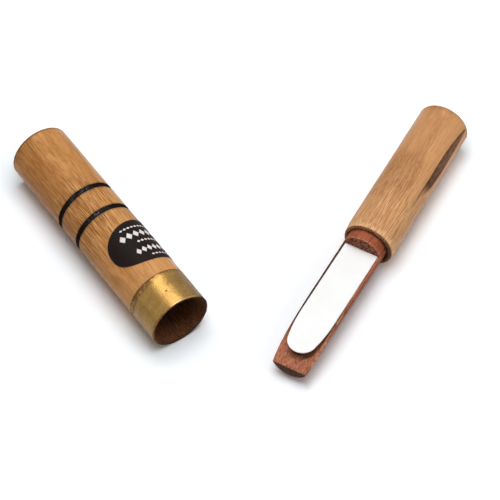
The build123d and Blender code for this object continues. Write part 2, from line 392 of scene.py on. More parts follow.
class Cane(Finish):
    """Cane on one tube's axes: fibres along it, dotted ends and a dark bore."""

    def __init__(self, name, place, settings):
        super().__init__(name)
        self.settings = settings
        self.point = self.local(place)
        self.along, right, up = self.parts(self.point)
        self.angle = self.around(right, up)
        self.depth = self.radius(right, up)
        self.fibre = self.streaks(self.point, 0.03, 3.1, 1.0)
        self.hair = self.streaks(self.point, 0.06, 4.4, 1.0)
        self.fleck = self.streaks(self.point, 0.13, 2.8, 2.0, 0.6)
        self.strand = self.streaks(self.point, 0.012, 0.7, 2.0)
        self.patch = self.streaks(self.point, 0.35, 0.16, 4.0, 0.6, 0.8)

    def polish(self, lift, fibre_share, fleck_share):
        """The polished outside: warm patches, lifted or sunk, partly as painted light and shade, with
        fibres and short flecks.
        """
        s = self.settings
        self.skin = self.ramp(self.patch + lift, (0.32, s.shade), (0.52, s.tone), (0.72, s.glow))
        self.lay(self.strand.fade(0.46, 0.30) * 0.3, s.shade)
        dark = self.fibre.fade(0.49, 0.37) * 0.45 + self.hair.fade(0.48, 0.34) * 0.35
        self.lay(dark * fibre_share, s.fibre_dark)
        pale = self.fibre.fade(0.52, 0.64) * 0.42 + self.hair.fade(0.53, 0.67) * 0.32
        self.lay(pale * fibre_share, s.fibre_pale)
        self.lay(self.fleck.fade(0.46, 0.30) * 0.42 * fleck_share, s.fibre_dark)
        self.lay(self.fleck.fade(0.54, 0.70) * 0.25 * fleck_share, s.fibre_pale)

    def end_grain(self):
        s = self.settings
        dots = self.streaks(self.point, 0.15, 2.2, 2.0, 0.6)
        return self.ramp(dots, (0.36, s.end_dark), (0.50, s.end_tone), (0.64, s.end_pale))

    def bore(self):
        s = self.settings
        return self.ramp(self.fleck * 0.7 + self.hair * 0.3, (0.38, s.bore_dark), (0.60, s.bore_tone))

    def close(self, matt, gloss, relief, sheen):
        """The closing shader: lacquer shows along the sides, and nowhere on matt places."""
        grazing = self.node("ShaderNodeLayerWeight", None, {"Blend": 0.5}, "Facing")
        lacquer = grazing.fade(0.45, 0.95) * 0.6 * (1.0 - matt)
        return self.surface(
            Roughness=0.45 + 0.1 * self.hair + 0.45 * matt,
            Normal=self.bump(self.fibre + self.hair * 0.5 + self.fleck * 0.4, relief, 0.09),
            Specular_IOR_Level=sheen,
            Coat_Weight=lacquer.most(gloss),
            Coat_Roughness=0.13,
        )


def barrel_cane(s):
    """Barrel cane: fibres strongest round the grooves, char in them, smoke at the mouth."""
    cane = Cane("barrel_cane", barrel_place, s)
    along, angle = cane.along, cane.angle
    lined = along.fade(-70.0, -57.0) * along.fade(-26.0, -40.0)
    # Painted light and shade round the barrel: sunk darkens the left side from the middle towards the
    # mouth, partly a browner cloud of cane and partly painted shade; by_brass lightens the cane next to
    # the band, and its extra lift on the left side is painted light; the right side is lightened a little
    # as painted light.
    sunk = angle.fade(-6.0, -34.0) * along.fade(-32.0, -46.0) * (1.0 - 0.5 * along.fade(-76.0, -84.0))
    by_brass = along.fade(-26.0, -17.0) * (0.16 + 0.28 * angle.fade(-50.0, -80.0))
    lift = by_brass + 0.06 * angle.fade(5.0, 25.0) - 0.22 * sunk
    cane.polish(lift, 0.5 + 0.9 * lined, 1.0 - 0.4 * along.fade(-48.0, -40.0))

    mouth = along + s.length / MM
    wander = (cane.strand - 0.5) * 3.0
    smoke = mouth.fade(6.0, 0.0) * angle.fade(-78.0, -60.0) * angle.fade(-38.0, -50.0) * 0.6
    smoke = smoke * cane.fibre.fade(0.62, 0.40)
    for place, reach, wide, strength in (
        (-46.6, 7.0, 1.6, 0.75),
        (-50.0, 3.4, 3.0, 0.5),
        (-29.0, 12.0, 1.3, 0.8),
        (-20.0, 3.0, 1.4, 0.6),
        (-6.0, 2.4, 2.0, 0.5),
    ):
        line = (1.0 - abs(angle + wander - place) / wide).most(0.0)
        smoke = smoke.most(line * mouth.fade(reach, reach * 0.45) * strength)
    smoke = smoke.most(mouth.fade(1.4, 0.7) * 0.7)
    cane.lay(smoke, s.smoke)

    ragged = (cane.fibre - 0.5) * 0.25
    half = s.groove_width / MM / 2
    away = abs(along - GROOVES[0]).least(abs(along - GROOVES[1])) + ragged
    cane.lay(away.fade(half + 1.1, half) * 0.45, s.smoke)
    char = away.fade(half + 0.16, half - 0.02)
    soot = cane.ramp(cane.fleck, (0.40, s.char), (0.66, s.char_worn))
    cane.lay(char, soot)

    under_band = along.fade(BAND_BACK - 0.1, BAND_BACK) * cane.depth.fade(BAND_SEAT + 0.02, BAND_SEAT)
    inside = cane.depth.fade(9.9, 9.65).most(under_band)
    cane.lay(inside, cane.bore())
    cane.lay(mouth.fade(0.6, 0.1), cane.end_grain())
    # Painted shade: the cane's end inside the band is darkened on the right and underneath, over its end
    # grain.
    shaded = angle.fade(15.0, 60.0).most(angle.fade(-100.0, -140.0))
    lip = cane.mix(0.3 + 0.6 * shaded, cane.end_grain(), s.end_dark)
    cane.lay(along.fade(-0.55, -0.1), lip)
    lit = angle.fade(-52.0, -28.0) * angle.fade(25.0, 5.0)
    gloss = char * cane.fleck.fade(0.50, 0.62) * lit * (1.0 - inside)
    return cane.close(inside.most(char), gloss, 0.4, 0.09)


def insert_cane(s):
    """Insert cane: smooth at the far end, with one long dark stain down its right side."""
    cane = Cane("insert_cane", insert_place, s)
    along, angle = cane.along, cane.angle
    far = along + s.length / MM
    dashed = far.fade(18.0, 30.0) * far.fade(56.0, 44.0)
    brown = far.fade(20.0, 30.0) * far.fade(50.0, 37.0) * angle.fade(-75.0, -40.0) * angle.fade(48.0, 10.0)
    # edges lightens the tube's right side as painted light and its left side as painted sheen.
    edges = 0.26 * angle.fade(5.0, 32.0) + 0.14 * angle.fade(-22.0, -42.0)
    lift = 0.03 + edges + 0.10 * far.fade(44.0, 56.0) - 0.36 * brown
    lift = lift - 0.2 * far.fade(2.6, 0.8)
    cane.polish(lift, 0.3 + 0.6 * far.fade(24.0, 48.0), 0.4 + 0.7 * dashed)

    wander = (cane.strand - 0.5) * 4.0 + (cane.fibre - 0.5) * 2.5
    before = (1.0 - far / 20.0).most(0.0)
    upper = angle - 53.6 - 14.0 * before * before + wander
    left_of = ((21.0 - far) / 18.5).most(0.0)
    right_of = ((far - 21.0) / 15.5).most(0.0)
    lower = 80.0 - 7.0 * left_of * left_of - 11.0 * right_of * right_of - angle - wander
    stain = upper.fade(-0.6, 1.6) * lower.fade(-1.0, 4.0) * far.fade(1.0, 2.4)
    edge = upper.fade(9.0, 1.0).most(far.fade(16.0, 30.0))
    stain = stain * far.fade(39.0, 31.0) * (0.82 + 0.18 * cane.fleck.fade(0.6, 0.4))
    cane.lay(stain, cane.mix(edge, s.stain_pale, s.stain))
    trail = (1.0 - abs(upper - 2.0) / 3.6).most(0.0) * far.fade(28.0, 34.0) * far.fade(47.0, 37.0)
    cane.lay(trail * 0.7, s.stain)

    # Pale fibres at the seat end: partly rubbed cane, partly a painted highlight along its rounded edge.
    rubbed = along.fade(-3.2, -1.0) * (0.25 + 0.6 * cane.fibre.fade(0.46, 0.60))
    cane.lay(rubbed, s.fibre_pale)
    # The cut end at the seat is darkened over its end grain, and further on the right as painted shade.
    ring = cane.mix(0.2 + 0.35 * angle.fade(30.0, 60.0), cane.end_grain(), s.end_dark)
    cane.lay(along.fade(-0.85, -0.3), ring)
    inside = cane.depth.fade(8.05, 7.75)
    cane.lay(inside, cane.bore())
    cane.lay(far.fade(0.6, 0.1), cane.end_grain())
    dull = (0.6 * stain).most(0.45 * angle.fade(-35.0, -55.0) * far.fade(14.0, 26.0))
    return cane.close(inside.most(dull), 0.0, 0.35, 0.17)


def band_brass(s):
    """Old brass: rubbed along its length, brown along the back edge, with a few pits."""
    finish = Finish("band_brass")
    point = finish.local(barrel_place)
    along, right, up = finish.parts(point)
    angle = finish.around(right, up)
    turned_line = finish.cloud(finish.stretched(point, 1.0, 0.04, 0.04), 1.9, 2.0, 0.6)
    scratch = finish.streaks(point, 0.30, 2.3, 2.0, 0.6)
    blotch = finish.cloud(point, 0.34, 4.0, 0.6, 0.5)
    speck = finish.cloud(point, 1.9, 3.0, 0.65)
    dent = finish.cloud(point, 0.8, 3.0, 0.65)

    finish.skin = finish.mix(blotch.fade(0.40, 0.64), s.brass, s.brass_warm)
    finish.lay(turned_line.fade(0.52, 0.72) * 0.4, s.brass_pale)
    # Painted reflection: the band is lightened on its left side, from about 60 degrees left of the top
    # round to the underside.
    finish.lay(angle.fade(-52.0, -64.0) * 0.3, s.brass_pale)
    finish.lay(speck.fade(0.47, 0.34) * 0.4, s.tarnish)
    left = angle.fade(-10.0, -20.0)
    back = along.fade(-10.6, -12.0) * left * 0.9 + along.fade(-12.7, -13.3)
    front = along.fade(-0.7, -0.15) * left * 0.6 + angle.fade(28.0, 60.0) * 0.5
    tarnish = ((back + front) * dent.fade(0.42, 0.52)).least(1.0)
    tarnish = tarnish.most(blotch.fade(0.60, 0.74) * 0.5).most(along.fade(-13.4, -13.6) * 0.9)
    finish.lay(tarnish * 0.85, s.tarnish)
    finish.lay(along.fade(-0.5, -0.2) * angle.fade(-24.0, -8.0), s.brass_pale)
    # Painted shade: the front edge is darkened on the right and underneath.
    shaded = angle.fade(34.0, 56.0) + angle.fade(-110.0, -140.0)
    finish.lay(along.fade(-0.7, -0.25) * shaded, s.painted_rim_shade)
    pit_along, pit_angle = -6.2, -5.5
    pit_across = (angle - pit_angle) * radians(s.radius / MM)
    pit = finish.radius(along - pit_along, pit_across).fade(0.50, 0.25)
    finish.lay(pit * 0.9, s.tarnish)

    return finish.surface(
        Metallic=1.0 - 0.5 * tarnish,
        Roughness=0.19 + 0.10 * blotch + 0.3 * tarnish + 0.08 * speck,
        Normal=finish.bump(scratch * 0.8 + turned_line * 0.6 + speck + dent * 2.4 - pit * 2.0, 0.7, 0.045),
        Specular_IOR_Level=0.1,
    )


def label_paper(s):
    """Black printed paper with rows of small pale lozenges, rubbed along its edge."""
    finish = Finish("label_paper")
    spread = finish.node("ShaderNodeUVMap", {"uv_map": "spread"})
    across, down = finish.parts(spread)[:2]
    across, down = (across - 0.5) * LABEL_MAP, (down - 0.5) * LABEL_MAP
    power = s.fullness
    oval = (
        abs(across / (s.length / MM / 2)) ** power + abs(down / (s.width / MM / 2)) ** power
    ) ** (1.0 / power)
    fuzz = finish.cloud(spread, 700.0, 2.0, 0.6)
    wear = finish.cloud(spread, 170.0, 4.0, 0.62)

    ornament = 0.0
    for line, reach, pitch, high in (
        (6.5, 9.0, 1.5, 0.45),
        (3.2, 11.0, 2.75, 1.5),
        (-0.3, 6.0, 1.5, 0.55),
        (-4.2, 8.8, 2.2, 1.35),
        (-7.3, 4.5, 1.5, 0.45),
    ):
        in_cell = abs((across / pitch) % 1.0 - 0.5) * pitch
        lozenge = in_cell / (pitch * 0.44) + abs(down - line) / high
        row = lozenge.fade(1.12, 0.88) * abs(across).fade(reach + 0.1, reach - 0.1)
        ornament = row.most(ornament)
    ornament = ornament * (wear + fuzz * 0.3).fade(0.38, 0.54)

    finish.skin = finish.mix(wear.fade(0.4, 0.75), s.paper, s.paper_worn)
    finish.lay(ornament, s.print)
    finish.lay(oval.fade(0.97, 1.0) * fuzz.fade(0.42, 0.62) * 0.5, s.rubbed)
    return finish.surface(
        Roughness=0.42 + 0.2 * wear,
        Normal=finish.bump(fuzz, 0.2, 0.02),
        Specular_IOR_Level=0.05,
    )


class Cedar(Finish):
    """Cedar on the plug's axes: growth bands, grain lines, dashes and speckled ends."""

    def __init__(self, name, settings):
        super().__init__(name)
        self.settings = settings
        self.point = self.local(plug_place)
        self.along, self.right, self.up = self.parts(self.point)
        self.band = self.cloud(self.stretched(self.point, 0.012, 0.6, 1.0), 0.5, 2.0, 0.5, 0.4)
        self.grain = self.streaks(self.point, 0.07, 1.7, 2.0, 0.65, 0.15)
        self.dash = self.streaks(self.point, 0.17, 2.7, 1.0)
        self.speck = self.streaks(self.point, 0.1, 1.7, 2.0, 0.6)

    def plane(self, lift, pale_share, dash_share):
        s = self.settings
        self.skin = self.ramp(self.band + lift, (0.32, s.shade), (0.52, s.tone), (0.72, s.glow))
        self.lay(self.grain.fade(0.47, 0.30) * 0.65, s.grain_dark)
        self.lay(self.grain.fade(0.57, 0.72) * pale_share, s.grain_pale)
        self.lay(self.dash.fade(0.46, 0.38) * dash_share, s.grain_dark)
        self.lay(self.dash.fade(0.54, 0.62) * pale_share, s.grain_pale)

    def end(self, face):
        s = self.settings
        self.lay(face, self.ramp(self.speck, (0.42, s.end_dark), (0.50, s.end_tone), (0.60, s.end_pale)))

    def close(self, face):
        return self.surface(
            Roughness=0.55 + 0.2 * self.grain + 0.1 * face,
            Normal=self.bump(self.grain + self.dash * 0.8 + self.speck * face, 0.45, 0.08),
            Specular_IOR_Level=0.14,
        )


def toneboard_cedar(s):
    """Toneboard cedar: dashed at the tip and lightened there as painted light, with dark strips of grime
    and painted shade beside and under the reed.
    """
    wood = Cedar("toneboard_cedar", s)
    along, up = wood.along, wood.up
    tip = along.fade(40.0, 48.0)
    # The first lift, 0.22 * tip, lightens the cedar towards the tip as painted light.
    wood.plane(0.22 * tip, 0.25 + 0.2 * tip, 0.4 + 0.1 * tip)
    past = (along - BOARD_FLAT_END).most(0.0)
    top = BOARD_FLAT - past * past / (2 * BOARD_FALL_RADIUS)
    on_top = (up - top).fade(-0.22, -0.06)
    reed_half, reed_side, reed_tip, bow_start, tip_centre = 6.2, 60.0, 5.1, 35.75, 46.7
    bow = (along - bow_start).most(0.0)
    inset = reed_half - (bow * bow / (2 * reed_side)).least(reed_half - reed_tip)
    inset = inset - wood.radius((along - tip_centre).most(0.0), wood.right)
    # Painted shade: inset darkens the cedar under the reed, and beside is a thin line of painted shadow
    # along the reed's right edge.
    beside = inset.fade(-0.5, -0.1) * wood.right.fade(0.5, 3.0) * along.fade(20.0, 34.0)
    wood.lay(on_top * (inset.fade(0.3, 1.6) * 0.8).most(beside * 0.6), s.grime_and_painted_shade)
    # The strip of top left of the reed is darkened: partly grime, partly painted shade.
    strip = on_top * wood.right.fade(-5.2, -6.0) * along.fade(50.0, 38.0)
    wood.lay(strip * (0.85 + 0.15 * wood.dash.fade(0.6, 0.4)), s.grime_and_painted_shade)
    worn = on_top * wood.right.fade(5.8, 6.6) * along.fade(24.0, 44.0) * wood.dash.fade(0.42, 0.58)
    wood.lay(worn * 0.7, s.grain_pale)
    reach = s.reach / MM
    face = along.fade(reach - 0.22, reach - 0.05)
    wood.end(face)
    wood.lay(face * 0.7, s.end_dull)
    return wood.close(face)


def wedge_cedar(s):
    """Wedge cedar: plain red on top, with a rubbed front edge and a speckled front."""
    wood = Cedar("wedge_cedar", s)
    wood.plane(0.04 * wood.dash, 0.2, 0.7)
    wood.lay(0.5, s.wedge_red)
    crack = (1.0 - abs(wood.right - 2.3) / 0.45).most(0.0) * wood.dash.fade(0.62, 0.45)
    wood.lay(crack * 0.7, s.grain_dark)
    front = s.wedge_stand_out / MM
    rubbed = wood.along.fade(front - 0.9, front - 0.35)
    wood.lay(rubbed * (0.15 + 0.35 * wood.dash.fade(0.4, 0.6)), s.grain_pale)
    face = wood.along.fade(front - 0.16, front - 0.03)
    wood.end(face * 0.85)
    return wood.close(face)


def reed_plastic(s):
    """White plastic with a faint drag along its length."""
    finish = Finish("reed_plastic")
    point = finish.local(plug_place)
    drag = finish.streaks(point, 0.05, 1.6)
    finish.skin = finish.mix(finish.cloud(point, 0.12).fade(0.35, 0.7), s.white, s.white_warm)
    return finish.surface(
        Roughness=0.34 + 0.16 * drag,
        Normal=finish.bump(drag, 0.12, 0.02),
    )


def seen_rays(tree):
    """1 for rays that show the surroundings: straight, mirrored or through glass."""
    straight, mirrored, through = tree.node(
        "ShaderNodeLightPath", out=("Is Camera Ray", "Is Glossy Ray", "Is Transmission Ray")
    )
    return straight.most(mirrored).most(through)


def floor_white(s):
    """Matt white floor that keeps the shadow and shows as white where none falls and far off."""
    finish = Finish("floor_white")
    matt = finish.node("ShaderNodeBsdfDiffuse", None, {"Color": s.floor})
    cool = finish.node("ShaderNodeBsdfDiffuse", None, {"Color": s.floor_cool})
    twice = finish.node("ShaderNodeAddShader", None, {0: matt, 1: cool})
    straight = finish.node("ShaderNodeLightPath", out="Is Camera Ray")
    across, deep = finish.parts(finish.node("ShaderNodeTexCoord", out="Object"))[:2]
    lift = s.floor_lift + s.floor_spread * (across * across + deep * deep)
    shown = finish.node("ShaderNodeMixShader", None, {0: straight * lift, 1: matt, 2: twice})
    far_off = finish.radius(across, deep).fade(0.14, 0.25)
    white = finish.node("ShaderNodeEmission", None, {"Color": (1, 1, 1, 1), "Strength": 1.0})
    shown = finish.node("ShaderNodeMixShader", None, {0: straight * far_off, 1: shown, 2: white})
    finish.node("ShaderNodeOutputMaterial", None, {"Surface": shown})
    return finish.material


def studio_world(s):
    """Weak even light all round, seen as white."""
    world = bpy.data.worlds.new("studio")
    world.use_nodes = True
    world.node_tree.nodes.clear()
    tree = Tree(world.node_tree)
    strength = s.even + (1.0 - s.even) * seen_rays(tree)
    sky = tree.node("ShaderNodeBackground", None, {"Color": (1, 1, 1, 1), "Strength": strength})
    tree.node("ShaderNodeOutputWorld", None, {"Surface": sky})
    return world


# Shapes

def new_piece(name, mesh, body, slot, *nodes):
    """A finished mesh as a piece that rides on a body and stands for its solids."""
    piece = bpy.data.objects.new(name, mesh)
    mesh.name = name
    bpy.context.scene.collection.objects.link(piece)
    if body:
        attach(piece, body)
    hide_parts(*nodes)
    return piece


def finished(mesh, sharp_angle, material=None):
    """Smooth shading with sharp edges kept past an angle."""
    for polygon in mesh.polygons:
        polygon.use_smooth = True
    mesh.set_sharp_from_angle(angle=radians(sharp_angle))
    if material:
        mesh.materials.append(material)
    return mesh


def spread(start, end, count):
    """Numbers spread evenly from start to end, both included."""
    return [start + (end - start) * step / count for step in range(count + 1)]


def arc_points(centre, radius, start, end, steps):
    """Points on an arc in the along and radius plane, both ends included."""
    turns = [radians(turn) for turn in spread(start, end, steps)]
    return [(centre[0] + radius * cos(turn), centre[1] + radius * sin(turn)) for turn in turns]


def run_points(start, end, longest):
    """Points on a straight run, without its last one."""
    count = max(1, ceil(hypot(end[0] - start[0], end[1] - start[1]) / longest))
    return list(zip(*(spread(a, b, count) for a, b in zip(start, end))))[:-1]


def run_through(corners, longest):
    """Points on a run along several corners, without the last one."""
    runs = [run_points(start, end, longest) for start, end in zip(corners, corners[1:])]
    return [point for run in runs for point in run]


def turning_tree():
    """A geometry tree that turns a section into a tube on its place, with relief and wear."""
    group = bpy.data.node_groups.new("turned_section", "GeometryNodeTree")
    tree = Tree(group)
    names = (
        "Section", "Steps Around", "Start", "Heading", "Fibre Height", "Fibre Pitch", "Sway",
        "Wear Depth", "Seat Offset", "Seat Lean", "Seed", "Finish",
    )
    kinds = {"Section": "Geometry", "Steps Around": "Int", "Start": "Vector", "Finish": "Material"}
    for name in names:
        kind = "NodeSocket" + kinds.get(name, "Float")
        group.interface.new_socket(name=name, in_out="INPUT", socket_type=kind)
    group.interface.new_socket(name="Tube", in_out="OUTPUT", socket_type="NodeSocketGeometry")
    section, steps, start, heading, height, pitch, sway, wear, offset, lean, seed, finish = tree.node(
        "NodeGroupInput", out=names
    )
    count = tree.node("GeometryNodeAttributeDomainSize", None, {"Geometry": section})
    grid = tree.node("GeometryNodeMeshGrid", None, {"Vertices X": steps + 1, "Vertices Y": count + 1})
    index = tree.node("GeometryNodeInputIndex")
    column = ((index + 0.5) / (count + 1)).floor()
    row = (index - column * (count + 1)) % count
    turn = column / steps * (2 * pi)
    ring_right, ring_up = turn.sine(), turn.cosine()

    def sampled(kind, value):
        sockets = {"Geometry": section, "Value": value, "Index": row}
        return tree.node("GeometryNodeSampleIndex", {"data_type": kind, "domain": "POINT"}, sockets)

    def marked(name):
        mark = tree.node("GeometryNodeInputNamedAttribute", {"data_type": "FLOAT"}, {"Name": name})
        return sampled("FLOAT", mark)

    def vector(x, y, z):
        return tree.node("ShaderNodeCombineXYZ", None, {"X": x, "Y": y, "Z": z})

    def cloud(x, reach, detail):
        where = vector(x, ring_right * reach, ring_up * reach)
        return tree.node("ShaderNodeTexNoise", None, {"Vector": where, "Scale": 1.0, "Detail": detail})

    point = sampled("FLOAT_VECTOR", tree.node("GeometryNodeInputPosition"))
    along, radius = tree.node("ShaderNodeSeparateXYZ", None, {"Vector": point}, ("X", "Y"))
    skin, seat, worn = marked("skin"), marked("seat"), marked("worn")
    fibres = cloud(along * 0.03 / pitch + seed, radius / pitch, 2.0)
    swell = cloud(along * 0.02 + seed, 1.1, 1.0)
    chips = cloud(seed, radius * 0.8, 3.0)
    out = radius - skin * ((1.0 - fibres) * height + swell.fade(0.3, 0.7) * sway)
    back = along - worn * chips.fade(0.36, 0.70) * wear
    shift = seat * (offset + lean * along)
    where = vector(back, ring_right * out + shift, ring_up * out)

    tube = tree.node("GeometryNodeSetPosition", None, {"Geometry": grid, "Position": where})
    tube = tree.node("GeometryNodeMergeByDistance", None, {"Geometry": tube, "Distance": 0.0005})
    placed = {"Translation": start, "Rotation": vector(0.0, 0.0, heading), "Scale": (MM, MM, MM)}
    tube = tree.node("GeometryNodeTransform", None, {"Geometry": tube, **placed})
    tube = tree.node("GeometryNodeRealizeInstances", None, {"Geometry": tube})
    tube = tree.node("GeometryNodeSetMaterial", None, {"Geometry": tube, "Material": finish})
    tree.node("NodeGroupOutput", None, {"Tube": tube})
    return group


def turned(name, runs, place, material, steps, **rule):
    """The mesh of a closed section, given as runs of points with marks, turned round an axis."""
    mesh = bpy.data.meshes.new(name + "_section")
    mesh.from_pydata([(a, r, 0.0) for points, marks in runs for a, r in points], [], [])
    for mark in ("skin", "seat", "worn"):
        values = [value for points, marks in runs for value in [marks.get(mark, 0.0)] * len(points)]
        mesh.attributes.new(mark, "FLOAT", "POINT").data.foreach_set("value", values)
    maker = bpy.data.objects.new(name + "_maker", mesh)
    bpy.context.scene.collection.objects.link(maker)
    modifier = maker.modifiers.new("turning", "NODES")
    modifier.node_group = bpy.data.node_groups.get("turned_section") or turning_tree()
    values = {name.replace("_", " "): value for name, value in rule.items()}
    values.update({"Steps Around": steps, "Finish": material})
    values.update({"Start": place.start * MM, "Heading": place.heading})
    for socket in modifier.node_group.interface.items_tree:
        if socket.in_out == "INPUT" and socket.name in values:
            modifier[socket.identifier] = values[socket.name]
    made = made_plain(maker)
    if not made.polygons:
        raise RuntimeError(f"the turned section of {name} came out empty")
    return made


def made_plain(maker):
    """The plain mesh that a maker's modifiers give; the maker goes."""
    depsgraph = bpy.context.evaluated_depsgraph_get()
    made = bpy.data.meshes.new_from_object(maker.evaluated_get(depsgraph))
    mesh = maker.data
    bpy.data.objects.remove(maker)
    bpy.data.meshes.remove(mesh)
    return made


def lofted(name, rows, place):
    """A closed mesh over rows of points, each row a ring, capped at both ends."""
    ring = len(rows[0])
    points = [point for row in rows for point in row]
    faces = [tuple(range(ring)), tuple(range(len(points) - ring, len(points)))]
    for start in range(0, len(points) - ring, ring):
        for step in range(ring):
            a, b = start + step, start + (step + 1) % ring
            faces.append((a, b, b + ring, a + ring))
    mesh = bpy.data.meshes.new(name)
    mesh.from_pydata(points, [], faces)
    shape = bmesh.new()
    shape.from_mesh(mesh)
    bmesh.ops.remove_doubles(shape, verts=shape.verts, dist=0.002)
    bmesh.ops.dissolve_degenerate(shape, edges=shape.edges, dist=0.0005)
    bmesh.ops.recalc_face_normals(shape, faces=shape.faces)
    shape.to_mesh(mesh)
    shape.free()
    mesh.transform(place.matrix())
    return mesh


def softened(mesh, width, angle):
    """A mesh with its sharp edges broken by a small bevel."""
    maker = bpy.data.objects.new("softening", mesh)
    bpy.context.scene.collection.objects.link(maker)
    bevel = maker.modifiers.new("edge", "BEVEL")
    bevel.width = width * MM
    bevel.segments = 2
    bevel.limit_method = "ANGLE"
    bevel.angle_limit = radians(angle)
    return made_plain(maker)


# Operators

class DUCKCALL_OT_barrel_tube(bpy.types.Operator):
    """Turn the barrel's cane tube with its grooves, bore and socket"""

    bl_idname = "duck_call.barrel_tube"
    bl_label = "Barrel Tube"

    def execute(self, context):
        s = context.scene.duck_call_barrel
        end, outer, bore, socket = -s.length / MM, s.radius / MM, s.bore / MM, s.socket / MM
        mouth, lead, lead_end, socket_end, step_end = 0.8, 10.3, -4, -20, -22
        depth, half = s.groove_depth / MM, s.groove_width / MM / 2
        cutter = (half**2 + depth**2) / (2 * depth)
        swing = degrees(asin(half / cutter))
        wall = [(0, lead), (lead_end, socket), (socket_end, socket), (step_end, bore)]
        inner = run_through([*wall, (end + mouth, bore)], 4.0)
        round_in = arc_points((end + mouth, bore + mouth), mouth, 270, 180, 6)
        round_out = arc_points((end + mouth, outer - mouth), mouth, 180, 90, 8)
        runs = [(inner, {}), (round_in, {}), (round_out[:-1], {"worn": 0.15})]
        last = end + mouth
        for groove in GROOVES:
            runs.append((run_points((last, outer), (groove - half, outer), 1.4), {"skin": 1.0}))
            dip = arc_points((groove, outer + cutter - depth), cutter, 270 - swing, 270 + swing, 12)
            runs.append((dip[:-1], {"skin": 0.6}))
            last = groove + half
        runs.append((run_points((last, outer), (BAND_BACK - 0.5, outer), 1.4), {"skin": 1.0}))
        under_band = run_points((BAND_BACK, BAND_SEAT), (0, BAND_SEAT), 4.0)
        runs.append(([(BAND_BACK - 0.5, outer), (BAND_BACK - 0.02, outer)], {}))
        runs.append((under_band + [(0, BAND_SEAT)], {}))
        mesh = turned(
            "barrel_tube", runs, barrel_place, barrel_cane(s), s.steps,
            Fibre_Height=s.fibre_height / MM, Fibre_Pitch=0.7, Sway=0.05, Wear_Depth=0.3, Seed=3.0,
        )
        new_piece("barrel_tube_cane", finished(mesh, 40), "barrel", "cane", "barrel_tube")
        return {"FINISHED"}


class DUCKCALL_OT_brass_band(bpy.types.Operator):
    """Turn the thin brass band at the barrel's end"""

    bl_idname = "duck_call.brass_band"
    bl_label = "Brass Band"

    def execute(self, context):
        s = context.scene.duck_call_band
        back, outer = -s.width / MM, s.radius / MM
        inner, edge = outer - s.wall / MM, 0.1
        runs = [
            (run_points((0, inner), (back, inner), 3.0) + [(back, inner)], {}),
            (arc_points((back + edge, outer - edge), edge, 180, 90, 4), {}),
            (run_points((back + edge, outer), (-edge, outer), 0.6)[1:], {"skin": 1.0}),
            (arc_points((-edge, outer - edge), edge, 90, 0, 4), {}),
        ]
        mesh = turned(
            "brass_band", runs, barrel_place, band_brass(s), 256,
            Fibre_Height=0.01, Fibre_Pitch=5.0, Sway=0.02, Seed=9.0,
        )
        new_piece("brass_band_ring", finished(mesh, 45), "barrel", "brass", "brass_band")
        return {"FINISHED"}


class DUCKCALL_OT_label(bpy.types.Operator):
    """Wrap the oval paper label round the barrel"""

    bl_idname = "duck_call.label"
    bl_label = "Label"

    def execute(self, context):
        s = context.scene.duck_call_label
        glued, middle, tilt, angle = 11.12, -29.45, tan(radians(3.0)), radians(42.0)
        half_length, half_width = s.length / MM / 2, s.width / MM / 2
        power = 2 / s.fullness
        spokes, rings = 128, 22
        points, spreads, faces = [], [], []

        def spot(turn, share, radius):
            across = half_length * share * copysign(abs(cos(turn)) ** power, cos(turn))
            down = half_width * share * copysign(abs(sin(turn)) ** power, sin(turn))
            swing = angle + across / glued
            points.append((middle - down - across * tilt, radius * sin(swing), radius * cos(swing)))
            spreads.append((0.5 + across / LABEL_MAP, 0.5 + down / LABEL_MAP))

        face, shares = glued + s.thickness / MM, spread(0.0, 1.0, rings)[1:]
        rows = [(share, face) for share in shares] + [(share, glued) for share in reversed(shares)]
        for share, radius in rows:
            for spoke in range(spokes):
                spot(2 * pi * spoke / spokes, share, radius)
        last, top, under = len(points) - spokes, len(points), len(points) + 1
        spot(0.0, 0.0, face)
        spot(0.0, 0.0, glued)
        for spoke in range(spokes):
            after = (spoke + 1) % spokes
            faces.append((top, spoke, after))
            for a in range(0, last, spokes):
                faces.append((a + spoke, a + spokes + spoke, a + spokes + after, a + after))
            faces.append((under, last + after, last + spoke))
        mesh = bpy.data.meshes.new("label_paper")
        mesh.from_pydata(points, [], faces)
        flat = mesh.uv_layers.new(name="spread")
        for loop in mesh.loops:
            flat.data[loop.index].uv = spreads[loop.vertex_index]
        mesh.transform(barrel_place.matrix())
        mesh.update()
        if mesh.polygons[0].normal.z < 0:
            mesh.flip_normals()
        finished(mesh, 50, label_paper(s))
        new_piece("label_paper", mesh, "barrel", "label", "label")
        return {"FINISHED"}


